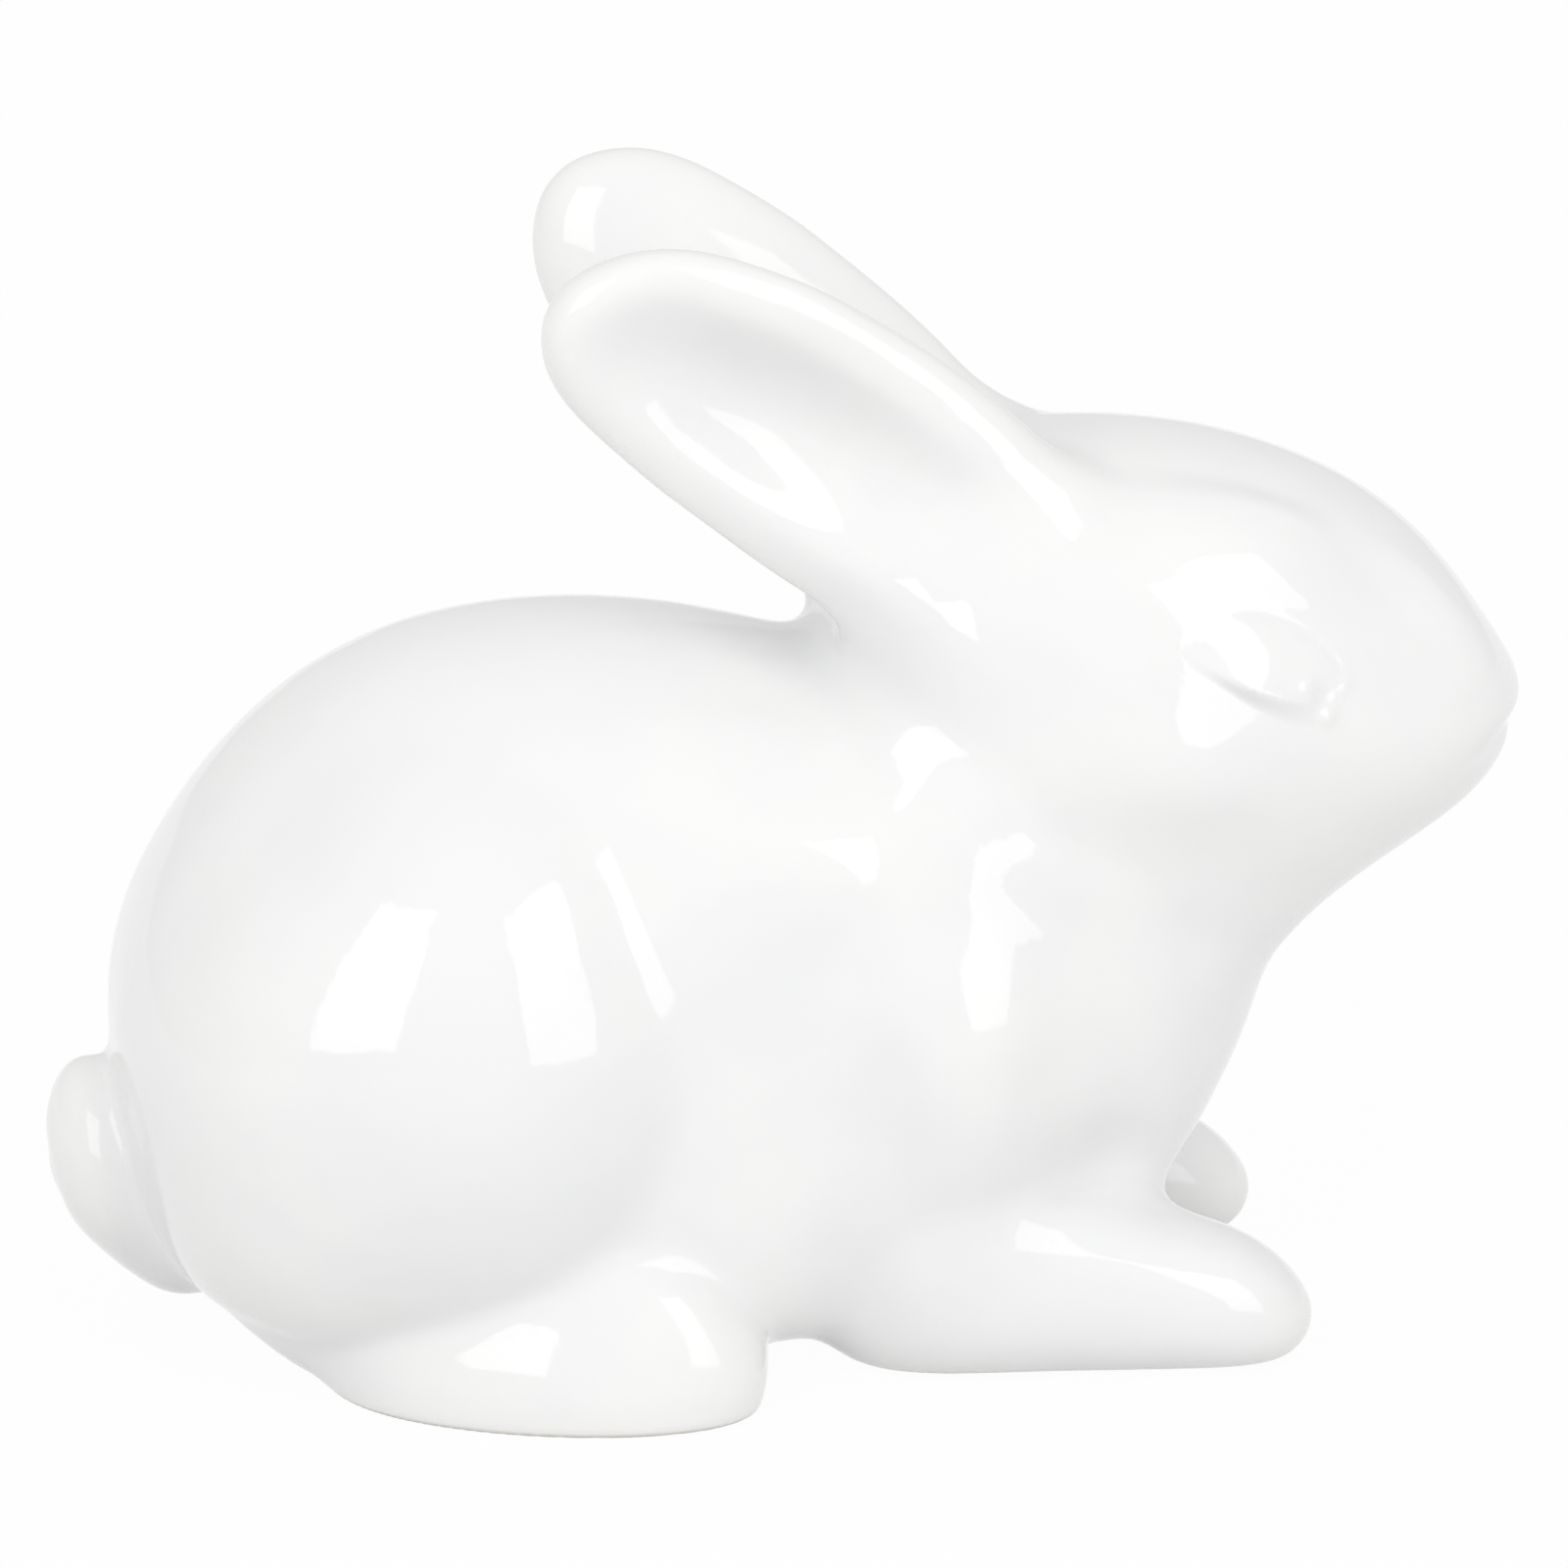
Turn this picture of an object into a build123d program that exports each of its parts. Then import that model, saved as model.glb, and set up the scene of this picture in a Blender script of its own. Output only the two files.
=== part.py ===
from build123d import *
import math
import os

# Glazed ceramic rabbit, crouching, nose along +X, its right side towards -Y, standing on Z = 0.
# The body and head are hollow slip castings; ears, tail, hind feet and forelegs are stuck on with slip.

# Overall sizes
HALF_LENGTH = 60.2
CROWN_HEIGHT = 74.6
HALF_WIDTH = 24.0
HEAD_HALF_WIDTH = 19.6

# Casting
WALL = 4.0
SLIP = 0.2
VENT_DIAMETER = 3.6
OVERRUN = 12.0

# The torso and head are drawn through ribs, closed curves in planes parallel to Y. One row per rib:
# top x, top z, bottom x, bottom z, half width, how much narrower its top is, how boxy its lower half is.
# The x shares are of the half length from the middle, z shares of the crown's height.
RIB_POINTS = 36
RIBS_PER_ROW = 2
rib_squareness = 2.1
rib_extra_squareness = 2.4
torso_rib_shares = [
    (-0.910, 0.328, -0.860, 0.130, 0.36, 0.02, 0.35),
    (-0.908, 0.405, -0.806, 0.086, 0.70, 0.04, 0.50),
    (-0.885, 0.480, -0.734, 0.058, 0.93, 0.07, 0.45),
    (-0.838, 0.560, -0.640, 0.030, 1.06, 0.10, 0.35),
    (-0.762, 0.648, -0.525, 0.024, 1.12, 0.12, 0.30),
    (-0.650, 0.732, -0.405, 0.024, 1.11, 0.12, 0.35),
    (-0.505, 0.790, -0.285, 0.024, 1.06, 0.11, 0.60),
    (-0.335, 0.812, -0.150, 0.024, 1.01, 0.10, 0.95),
    (-0.185, 0.806, -0.002, 0.024, 0.97, 0.09, 1.00),
    (-0.078, 0.790, 0.150, 0.026, 0.91, 0.07, 0.70),
    (-0.012, 0.776, 0.292, 0.040, 0.85, 0.04, 0.40),
    (0.020, 0.771, 0.402, 0.080, 0.82, 0.00, 0.30),
    (0.034, 0.776, 0.502, 0.152, 0.82, -0.03, 0.25),
    (0.043, 0.784, 0.587, 0.264, 0.81, -0.05, 0.20),
    (0.052, 0.796, 0.662, 0.408, 0.80, -0.06, 0.10),
]
head_rib_shares = [
    (0.068, 0.872, 0.722, 0.458, 1.02, -0.08, 0.10),
    (0.136, 0.940, 0.782, 0.496, 1.04, -0.08, 0.10),
    (0.250, 0.984, 0.834, 0.524, 1.01, -0.07, 0.10),
    (0.374, 0.995, 0.876, 0.548, 0.96, -0.04, 0.10),
    (0.498, 0.990, 0.910, 0.568, 0.88, -0.01, 0.10),
    (0.615, 0.971, 0.937, 0.588, 0.78, 0.02, 0.10),
    (0.724, 0.937, 0.958, 0.608, 0.67, 0.04, 0.10),
    (0.818, 0.890, 0.972, 0.629, 0.55, 0.05, 0.10),
    (0.892, 0.831, 0.983, 0.648, 0.43, 0.05, 0.10),
    (0.948, 0.769, 0.991, 0.665, 0.30, 0.04, 0.10),
    (0.983, 0.724, 0.997, 0.678, 0.17, 0.02, 0.10),
    (0.995, 0.702, 0.999, 0.686, 0.07, 0.00, 0.10),
]
# The cavity starts this far along the torso and ends this far along the head
cavity_start_share = 0.15
cavity_end_share = 0.80

# Masses rounded into the ribs: thighs and upper arms
HAUNCH_HALF_LENGTH = 21.0
HAUNCH_HALF_WIDTH = 17.5
HAUNCH_HALF_HEIGHT = 21.5
HAUNCH_OFFSET = 14.0
HAUNCH_HEIGHT = 28.0
haunch_place_share = -0.50
SHOULDER_HALF_LENGTH = 12.5
SHOULDER_HALF_WIDTH = 10.8
SHOULDER_HALF_HEIGHT = 17.0
SHOULDER_OFFSET = 12.2
SHOULDER_HEIGHT = 25.0
shoulder_place_share = 0.22
SOFTNESS = 3.0
# Closed eyes
EYE_HALF_LENGTH = 7.4
EYE_HALF_DEPTH = 4.6
EYE_HALF_HEIGHT = 4.6
EYE_OFFSET = 11.4
EYE_SOFTNESS = 0.8
eye_place_share = 0.610
eye_height_share = 0.790

# Ears, flat blades with a dish in the outer face
EAR_LENGTH = 48.6
EAR_HALF_WIDTH = 10.8
EAR_THICKNESS = 8.0
EAR_CUP = 1.6
EAR_DISH = 3.4
EAR_SPLAY_ANGLE = 11.0
EAR_TWIST_ANGLE = 14.0
EAR_ROOT_OFFSET = 8.5
RIGHT_EAR_LEAN_ANGLE = 35.0
RIGHT_EAR_BOW = 1.8
# The left ear is straighter and was set a little more upright, lower and deeper
LEFT_EAR_LEAN_ANGLE = 41.5
LEFT_EAR_DROP = 1.8
LEFT_EAR_SINK = 1.2
EAR_POINTS = 40
ear_squareness = 2.3
dish_roundness = 1.5
dish_width_share = 0.66
ear_place_share = 0.318
ear_height_share = 0.83
# Along the ear: place, half width, thickness, cup, dish depth and how far the middle bows up
ear_section_shares = [
    (0.00, 0.76, 1.20, 0.10, 0.00, 0.60),
    (0.10, 0.84, 1.18, 0.30, 0.10, 0.80),
    (0.20, 0.92, 1.12, 0.60, 0.38, 0.95),
    (0.30, 0.97, 1.06, 0.82, 0.72, 1.00),
    (0.40, 1.00, 1.00, 0.95, 0.95, 1.00),
    (0.50, 1.00, 0.97, 1.00, 1.00, 1.00),
    (0.60, 0.98, 0.94, 1.00, 0.98, 1.00),
    (0.70, 0.93, 0.90, 0.90, 0.85, 0.92),
    (0.79, 0.85, 0.86, 0.75, 0.58, 0.80),
    (0.87, 0.74, 0.82, 0.55, 0.25, 0.62),
    (0.93, 0.58, 0.76, 0.35, 0.04, 0.40),
    (0.975, 0.36, 0.58, 0.15, 0.00, 0.18),
    (1.00, 0.12, 0.26, 0.00, 0.00, 0.05),
]

# Tail
TAIL_HALF_LENGTH = 9.4
TAIL_HALF_WIDTH = 7.8
TAIL_DEPTH = 7.0
TAIL_POINTS = 24
tail_drop_share = 0.65
tail_lift_share = 0.08
# Out from the rump: place and size
tail_section_shares = [
    (0.00, 0.90),
    (0.15, 0.97),
    (0.32, 1.00),
    (0.50, 0.95),
    (0.68, 0.82),
    (0.83, 0.63),
    (0.93, 0.41),
    (1.00, 0.12),
]

# Hind feet and forelegs, each cut flat on the ground
FOOT_POINTS = 24
SOLE_CUT_DEPTH = 0.9
foot_squareness = 2.3
FOOT_LENGTH = 43.6
FOOT_HALF_WIDTH = 8.4
FOOT_HEIGHT = 16.0
FOOT_TOE_OUT_ANGLE = 17.0
FOOT_HEEL_OFFSET = 10.3
foot_heel_share = -0.764
LEG_LENGTH = 39.2
LEG_HALF_WIDTH = 7.4
LEG_HEIGHT = 16.2
LEG_TOE_OUT_ANGLE = 3.0
LEG_HEEL_OFFSET = 13.9
leg_heel_share = 0.032
# From heel to toe: place, half width, height and lift off the ground
foot_section_shares = [
    (0.00, 0.12, 0.10, 0.46),
    (0.03, 0.36, 0.30, 0.31),
    (0.08, 0.52, 0.46, 0.20),
    (0.16, 0.66, 0.62, 0.09),
    (0.26, 0.77, 0.74, 0.03),
    (0.38, 0.87, 0.85, 0.00),
    (0.52, 0.96, 0.95, 0.00),
    (0.64, 1.00, 1.00, 0.00),
    (0.75, 1.00, 0.97, 0.00),
    (0.85, 0.94, 0.86, 0.00),
    (0.92, 0.78, 0.68, 0.02),
    (0.97, 0.50, 0.42, 0.09),
    (1.00, 0.16, 0.14, 0.22),
]
leg_section_shares = [
    (0.00, 0.14, 0.20, 0.26),
    (0.03, 0.42, 0.48, 0.12),
    (0.10, 0.74, 0.80, 0.03),
    (0.22, 0.93, 0.98, 0.00),
    (0.38, 1.00, 1.00, 0.00),
    (0.54, 1.00, 0.90, 0.00),
    (0.70, 1.00, 0.76, 0.00),
    (0.82, 0.95, 0.66, 0.00),
    (0.91, 0.79, 0.52, 0.02),
    (0.97, 0.50, 0.32, 0.08),
    (1.00, 0.16, 0.10, 0.18),
]


def power(value, exponent):
    """The value's power with its sign kept."""
    return math.copysign(abs(value) ** exponent, value)


def soft_max(first, second, softness):
    """The larger of two lengths, rounded over where they are nearly equal."""
    closeness = max(softness - abs(first - second), 0) / softness
    return max(first, second) + closeness * closeness * softness / 4


def between(rows, place):
    """The row at a fractional place in a table, on a smooth curve through its neighbours."""
    last = len(rows) - 1
    index = min(int(place), last - 1)
    part = place - index
    before = rows[max(index - 1, 0)]
    after = rows[min(index + 2, last)]
    values = []
    for p0, p1, p2, p3 in zip(before, rows[index], rows[index + 1], after):
        bend = (p2 - p0) * part + (2 * p0 - 5 * p1 + 4 * p2 - p3) * part**2
        bend = bend + (3 * p1 - p0 - 3 * p2 + p3) * part**3
        values.append(p1 + bend / 2)
    return values


def far_side(start, direction, mass):
    """How far along a ray from its start a mass's far side lies, or zero if the ray misses it."""
    centre, sizes = mass
    offset = start - centre
    from_centre = [offset.X / sizes[0], offset.Y / sizes[1], offset.Z / sizes[2]]
    heading = [direction.X / sizes[0], direction.Y / sizes[1], direction.Z / sizes[2]]
    square = sum(value * value for value in heading)
    cross = sum(first * second for first, second in zip(from_centre, heading))
    rest = sum(value * value for value in from_centre) - 1
    inside = cross * cross - square * rest
    if inside < 0:
        return 0
    return max((math.sqrt(inside) - cross) / square, 0)


def loop(points):
    """A smooth closed curve whose points all have evenly spaced parameters."""
    count = len(points)
    places = [step / count for step in range(count + 1)]
    return Wire(Edge.make_spline(points, periodic=True, parameters=places))


def rib(row, half_width, masses, softness, inset=0.0, shift=0.0):
    """A body rib drawn in by the inset, and moved along its plane's normal by the shift."""
    top_x, top_z, bottom_x, bottom_z, wide, taper, boxy = row
    top = Vector(top_x * HALF_LENGTH, 0, top_z * CROWN_HEIGHT)
    bottom = Vector(bottom_x * HALF_LENGTH, 0, bottom_z * CROWN_HEIGHT)
    middle = (top + bottom) / 2
    half_height = (top - middle).length
    upward = (top - middle).normalized()
    onward = Vector(upward.Z, 0, -upward.X)
    points = []
    for step in range(RIB_POINTS):
        angle = 2 * math.pi * step / RIB_POINTS
        rise = math.cos(angle)
        reach = math.sin(angle)
        width = wide * half_width * (1 - taper * rise)
        squareness = rib_squareness + boxy * rib_extra_squareness * (1 - rise) / 2
        total = abs(rise / half_height) ** squareness + abs(reach / width) ** squareness
        radius = total ** (-1 / squareness)
        direction = upward * rise + Vector(0, reach, 0)
        for mass in masses:
            radius = soft_max(radius, far_side(middle, direction, mass), softness)
        points.append(middle + direction * (radius - inset) + onward * shift)
    return loop(points)


def limb_masses():
    """Both haunches and both shoulders as centres and half sizes."""
    masses = []
    for side in (-1, 1):
        haunch = Vector(haunch_place_share * HALF_LENGTH, side * HAUNCH_OFFSET, HAUNCH_HEIGHT)
        masses.append((haunch, (HAUNCH_HALF_LENGTH, HAUNCH_HALF_WIDTH, HAUNCH_HALF_HEIGHT)))
        shoulder = Vector(shoulder_place_share * HALF_LENGTH, side * SHOULDER_OFFSET, SHOULDER_HEIGHT)
        masses.append((shoulder, (SHOULDER_HALF_LENGTH, SHOULDER_HALF_WIDTH, SHOULDER_HALF_HEIGHT)))
    return masses


def eye_masses():
    """Both eyes as centres and half sizes."""
    sizes = (EYE_HALF_LENGTH, EYE_HALF_DEPTH, EYE_HALF_HEIGHT)
    place = eye_place_share * HALF_LENGTH
    return [(Vector(place, side * EYE_OFFSET, eye_height_share * CROWN_HEIGHT), sizes) for side in (-1, 1)]


def torso(inset=0.0, first_share=0.0, overrun=0.0):
    """The torso from a share of the way along it to the neck, and past both ends by the overrun."""
    masses = limb_masses()
    last = len(torso_rib_shares) - 1
    first = first_share * last
    count = round((last - first) * RIBS_PER_ROW)
    places = [first + (last - first) * step / count for step in range(count + 1)]
    ribs = [rib(between(torso_rib_shares, place), HALF_WIDTH, masses, SOFTNESS, inset) for place in places]
    if overrun and not first_share:
        ribs = [rib(torso_rib_shares[0], HALF_WIDTH, masses, SOFTNESS, inset, -overrun)] + ribs
    if overrun:
        ribs = ribs + [rib(torso_rib_shares[-1], HALF_WIDTH, masses, SOFTNESS, inset, overrun)]
    return Solid.make_loft(ribs)


def head_rows():
    """The head's rows with the torso's last one at their start."""
    wide = torso_rib_shares[-1][4] * HALF_WIDTH / HEAD_HALF_WIDTH
    return [torso_rib_shares[-1][:4] + (wide,) + torso_rib_shares[-1][5:]] + head_rib_shares


def head(inset=0.0, last_share=1.0, start=0.0):
    """The head to a share of the way to the nose, its neck end moved along the neck's normal by start."""
    rows = head_rows()
    last = last_share * (len(rows) - 1)
    count = round(last * RIBS_PER_ROW)
    places = [last * step / count for step in range(count + 1)]
    eyes = eye_masses()
    ribs = [rib(between(rows, place), HEAD_HALF_WIDTH, eyes, EYE_SOFTNESS, inset) for place in places]
    neck = rib(rows[0], HEAD_HALF_WIDTH, eyes, EYE_SOFTNESS, inset, start)
    if start > 0:
        return Solid.make_loft([neck] + ribs[1:])
    if start < 0:
        return Solid.make_loft([neck] + ribs)
    return Solid.make_loft(ribs)


def ear(side, lean, bow, drop, sink):
    """An ear on one side, its dish facing outwards, its root dropped and sunk into the head."""
    sections = []
    for place, wide, thick, cup, dish, rise in ear_section_shares:
        points = []
        for step in range(EAR_POINTS):
            angle = 2 * math.pi * step / EAR_POINTS
            across = power(math.cos(angle), 2 / ear_squareness)
            through = power(math.sin(angle), 2 / ear_squareness)
            depth = through * thick * EAR_THICKNESS / 2 - cup * EAR_CUP * (1 - across * across)
            hollow = max(1 - (across / dish_width_share) ** 2, 0) ** dish_roundness
            if through > 0:
                depth = depth - dish * EAR_DISH * hollow
            height = across * wide * EAR_HALF_WIDTH + rise * bow - drop
            points.append(Vector(sink - place * EAR_LENGTH, side * depth, height))
        sections.append(loop(points))
    place = Pos(ear_place_share * HALF_LENGTH, side * EAR_ROOT_OFFSET, ear_height_share * CROWN_HEIGHT)
    turn = Rot(0, 0, -side * EAR_SPLAY_ANGLE) * Rot(0, lean, 0) * Rot(-side * EAR_TWIST_ANGLE, 0, 0)
    return place * turn * Solid.make_loft(sections)


def tail():
    """The tail, out from the flat end of the rump."""
    row = torso_rib_shares[0]
    top = Vector(row[0] * HALF_LENGTH, 0, row[1] * CROWN_HEIGHT)
    bottom = Vector(row[2] * HALF_LENGTH, 0, row[3] * CROWN_HEIGHT)
    upward = (top - bottom).normalized()
    outward = Vector(-upward.Z, 0, upward.X)
    start = top - (top - bottom) * tail_drop_share + outward * SLIP
    lift = upward * (tail_lift_share * TAIL_HALF_LENGTH)
    sections = []
    for place, size in tail_section_shares:
        middle = start + outward * (place * (TAIL_DEPTH - SLIP)) + lift * place
        points = []
        for step in range(TAIL_POINTS):
            angle = 2 * math.pi * step / TAIL_POINTS
            rise = upward * (math.cos(angle) * size * TAIL_HALF_LENGTH)
            points.append(middle + rise + Vector(0, math.sin(angle) * size * TAIL_HALF_WIDTH, 0))
        sections.append(loop(points))
    return Solid.make_loft(sections)


def foot(shares, length, half_width, height):
    """A foot along +X from heel to toe, cut flat on Z = 0."""
    sections = []
    for place, wide, high, lift in shares:
        half_height = high * (height + SOLE_CUT_DEPTH) / 2
        middle = half_height - SOLE_CUT_DEPTH * high + lift * height
        points = []
        for step in range(FOOT_POINTS):
            angle = 2 * math.pi * step / FOOT_POINTS
            y = power(math.cos(angle), 2 / foot_squareness) * wide * half_width
            z = middle + power(math.sin(angle), 2 / foot_squareness) * half_height
            points.append(Vector(place * length, y, z))
        sections.append(loop(points))
    ground = Pos(length / 2, 0, -OVERRUN / 2) * Box(length + OVERRUN, 2 * half_width + OVERRUN, OVERRUN)
    return Solid.make_loft(sections) - ground


def body_shell():
    """The hollow torso, open at the neck, with its vent under the belly."""
    cavity = torso(inset=WALL, first_share=cavity_start_share, overrun=SLIP)
    return torso() - cavity - Cylinder(VENT_DIAMETER / 2, 2 * OVERRUN)


def head_shell():
    """The hollow head, open at the neck."""
    cavity = head(inset=WALL, last_share=cavity_end_share, start=-SLIP)
    return head(start=SLIP) - cavity


def right_hind_foot():
    """The right hind foot in its place, before it is fitted to the torso."""
    blank = foot(foot_section_shares, FOOT_LENGTH, FOOT_HALF_WIDTH, FOOT_HEIGHT)
    return Pos(foot_heel_share * HALF_LENGTH, -FOOT_HEEL_OFFSET, 0) * Rot(0, 0, -FOOT_TOE_OUT_ANGLE) * blank


def right_foreleg():
    """The right foreleg in its place, before it is fitted to the torso."""
    blank = foot(leg_section_shares, LEG_LENGTH, LEG_HALF_WIDTH, LEG_HEIGHT)
    return Pos(leg_heel_share * HALF_LENGTH, -LEG_HEEL_OFFSET, 0) * Rot(0, 0, -LEG_TOE_OUT_ANGLE) * blank


def main():
    os.makedirs("parts", exist_ok=True)
    torso_clearance = torso(inset=-SLIP, overrun=SLIP)
    head_clearance = head(inset=-SLIP)
    right_foot = right_hind_foot() - torso_clearance
    right_leg = right_foreleg() - torso_clearance
    pieces = {
        "body_shell": body_shell(),
        "head_shell": head_shell(),
        "right_ear": ear(-1, RIGHT_EAR_LEAN_ANGLE, RIGHT_EAR_BOW, 0, 0) - head_clearance,
        "left_ear": ear(1, LEFT_EAR_LEAN_ANGLE, 0, LEFT_EAR_DROP, LEFT_EAR_SINK) - head_clearance,
        "tail": tail(),
        "right_hind_foot": right_foot,
        "left_hind_foot": mirror(right_foot, about=Plane.XZ),
        "right_foreleg": right_leg,
        "left_foreleg": mirror(right_leg, about=Plane.XZ),
    }
    for name, piece in pieces.items():
        export_step(piece, f"parts/{name}.step")
        print(name, piece.is_valid, round(piece.volume), len(piece.solids()))


main()
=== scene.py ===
import math

import bpy
import numpy as np
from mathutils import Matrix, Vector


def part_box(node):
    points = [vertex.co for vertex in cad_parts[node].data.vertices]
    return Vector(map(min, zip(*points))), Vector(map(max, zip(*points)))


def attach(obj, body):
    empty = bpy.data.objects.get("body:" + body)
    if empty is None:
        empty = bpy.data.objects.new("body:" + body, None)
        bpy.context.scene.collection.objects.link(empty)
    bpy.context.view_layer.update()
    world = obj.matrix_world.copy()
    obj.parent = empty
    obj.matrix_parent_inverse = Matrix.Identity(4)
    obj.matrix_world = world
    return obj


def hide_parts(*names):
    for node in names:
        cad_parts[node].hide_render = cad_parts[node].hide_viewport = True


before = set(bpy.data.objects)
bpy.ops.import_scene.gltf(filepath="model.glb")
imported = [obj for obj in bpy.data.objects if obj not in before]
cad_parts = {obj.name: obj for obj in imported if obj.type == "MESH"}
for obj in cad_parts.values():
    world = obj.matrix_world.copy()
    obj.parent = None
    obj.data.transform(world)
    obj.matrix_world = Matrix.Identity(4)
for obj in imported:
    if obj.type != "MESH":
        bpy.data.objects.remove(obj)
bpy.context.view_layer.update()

import openvdb as vdb
from mathutils import Vector

# The glaze skin is worked out as a distance field, in millimetres, and then meshed in metres
MM = 0.001
# The lattice's cell, how far from a surface its distances reach, and the room left round the rabbit
VOXEL = 0.45
BAND = 6.3
MARGIN = 3.0
# How far the shells are grown to close the joint at the neck, and the radius of the vent under the belly
SEAL = 0.3
VENT_RADIUS = 1.8

TRUNK = ("body_shell", "head_shell")
# How widely the glazed joint of each added piece is rounded, and how far its own surface is eased
JOINTS = {
    "right_ear": (5.0, 0.5),
    "left_ear": (5.0, 0.5),
    "tail": (2.2, 0.6),
    "right_hind_foot": (2.2, 0.6),
    "left_hind_foot": (2.2, 0.6),
    "right_foreleg": (4.5, 0.6),
    "left_foreleg": (4.5, 0.6),
}
# How far the trunk and then the whole skin are eased, and how widely the soles' edges are rounded
TRUNK_EASE = 1.0
SKIN_EASE = 0.45
SOLE_ROUNDING = 1.0
# The width over which the glaze's pooling in hollows is judged, which also sets where creases get painted
# shade
POOL_AND_SHADE_WIDTH = 1.8
# The least square of the slope that a step is divided by: on the plain skin, the carved skin and a border
LEAST_SQUARE = 0.05
LEAST_CARVED_SQUARE = 0.3
LEAST_BORDER_SQUARE = 0.2
# How far to each side the carving is read for its slope, and the longest step of a border point, in cells
CARVING_STEP = 0.05
BORDER_STEP_SHARE = 0.3
# Rounds of tidying the faces' labels: by their neighbours' votes, then by giving stray patches away
VOTE_ROUNDS = 8
VOTES_NEEDED = 3
STRAY_ROUNDS = 6
# The hidden caps: how far below the glaze they lie, and how far in each ring is, where 1 is the middle
CAP_DEPTH = 0.8
CAP_RINGS = (0.0, 0.3, 0.65)
# Where the mesh is finer, for relief: boxes in millimetres, and into how many each edge is cut
FINE_BOXES = (
    ((25.0, 8.0, 50.0), (46.0, 30.0, 71.0)),
    ((25.0, -30.0, 50.0), (46.0, -8.0, 71.0)),
    ((52.0, -14.0, 44.0), (62.0, 14.0, 56.0)),
)
FINE_SPLITS = 3


# Distance fields

class Grid:
    """The lattice that every field is held on: its lowest corner in cells, its shape and its axes.

    Each axis is shaped so that x, y and z together spread over the whole lattice.
    """

    def __init__(self, low, high):
        self.start = np.floor((np.array(low) / MM - MARGIN) / VOXEL).astype(int)
        self.end = np.ceil((np.array(high) / MM + MARGIN) / VOXEL).astype(int)
        self.shape = tuple(self.end - self.start)
        axes = [(np.arange(a, b) * VOXEL).astype(np.float32) for a, b in zip(self.start, self.end)]
        self.x = axes[0][:, None, None]
        self.y = axes[1][None, :, None]
        self.z = axes[2][None, None, :]

    def window(self, low, high, margin):
        """The slices of the lattice that hold a box grown by a margin."""
        first = np.floor((np.array(low) / MM - margin) / VOXEL).astype(int) - self.start
        last = np.ceil((np.array(high) / MM + margin) / VOXEL).astype(int) - self.start
        first = np.maximum(first, 0)
        last = np.minimum(last, self.shape)
        return tuple(slice(a, b) for a, b in zip(first, last))

    def read(self, level_set, window):
        """A level set's distances within the window."""
        values = np.empty([part.stop - part.start for part in window], np.float32)
        corner = [int(part.start + start) for part, start in zip(window, self.start)]
        level_set.copyToArray(values, ijk=tuple(corner))
        return values


def node_mesh(name):
    """A CAD node's points, in millimetres, and its triangles."""
    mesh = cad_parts[name].data
    mesh.calc_loop_triangles()
    triangles = np.empty(len(mesh.loop_triangles) * 3, np.int32)
    mesh.loop_triangles.foreach_get("vertices", triangles)
    points = np.empty(len(mesh.vertices) * 3, np.float32)
    mesh.vertices.foreach_get("co", points)
    return points.reshape(-1, 3) / MM, triangles.reshape(-1, 3).astype(np.uint32)


def plug_mesh():
    """A small block across the belly's wall, which keeps the hollow inside shut off."""
    reach = 2 * VENT_RADIUS
    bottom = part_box("body_shell")[0].z / MM + reach / 4
    heights = (bottom, bottom + reach / 2)
    corners = [(x, y, z) for x in (-reach, reach) for y in (-reach, reach) for z in heights]
    sides = [(0, 1, 3), (0, 3, 2), (4, 6, 7), (4, 7, 5), (0, 4, 5), (0, 5, 1)]
    sides += [(2, 3, 7), (2, 7, 6), (0, 2, 6), (0, 6, 4), (1, 5, 7), (1, 7, 3)]
    return np.array(corners, np.float32), np.array(sides, np.uint32)


def level_set(*meshes):
    """One level set round several closed meshes."""
    points = []
    triangles = []
    count = 0
    for part_points, part_triangles in meshes:
        points.append(part_points)
        triangles.append(part_triangles + np.uint32(count))
        count += len(part_points)
    return vdb.FloatGrid.createLevelSetFromPolygons(
        points=np.concatenate(points).astype(np.float32),
        triangles=np.concatenate(triangles).astype(np.uint32),
        transform=vdb.createLinearTransform(voxelSize=VOXEL),
        halfWidth=BAND / VOXEL,
    )


def split_quads(points, triangles, quads):
    """Points and triangles alone, each quad cut in two."""
    parts = [triangles, quads[:, [0, 1, 2]], quads[:, [0, 2, 3]]]
    return points, np.concatenate([part for part in parts if len(part)]).astype(np.uint32)


def smooth_min(first, second, radius):
    """The nearer of two surfaces, rounded where they meet."""
    closeness = np.maximum(radius - np.abs(first - second), 0) / radius
    return np.minimum(first, second) - closeness * closeness * radius / 4


def blur(field, width):
    """A field averaged over a Gaussian of this width in millimetres."""
    sigma = width / VOXEL
    reach = int(math.ceil(3 * sigma))
    weights = np.exp(-0.5 * (np.arange(-reach, reach + 1) / sigma) ** 2)
    weights = (weights / weights.sum()).astype(np.float32)
    for axis in range(3):
        padding = [(reach, reach) if other == axis else (0, 0) for other in range(3)]
        padded = np.pad(field, padding, mode="edge")
        total = np.zeros_like(field)
        for step, weight in enumerate(weights):
            part = [slice(None)] * 3
            part[axis] = slice(step, step + field.shape[axis])
            total += weight * padded[tuple(part)]
        field = total
    return field


def trunk_field(grid, whole):
    """The outside of the body and head as one, with the neck's joint, the vent and the hollow closed."""
    shells = level_set(node_mesh("body_shell"), node_mesh("head_shell"), plug_mesh())
    sealed = level_set(split_quads(*shells.convertToPolygons(isovalue=SEAL, adaptivity=0)))
    return grid.read(sealed, whole) + SEAL


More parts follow.
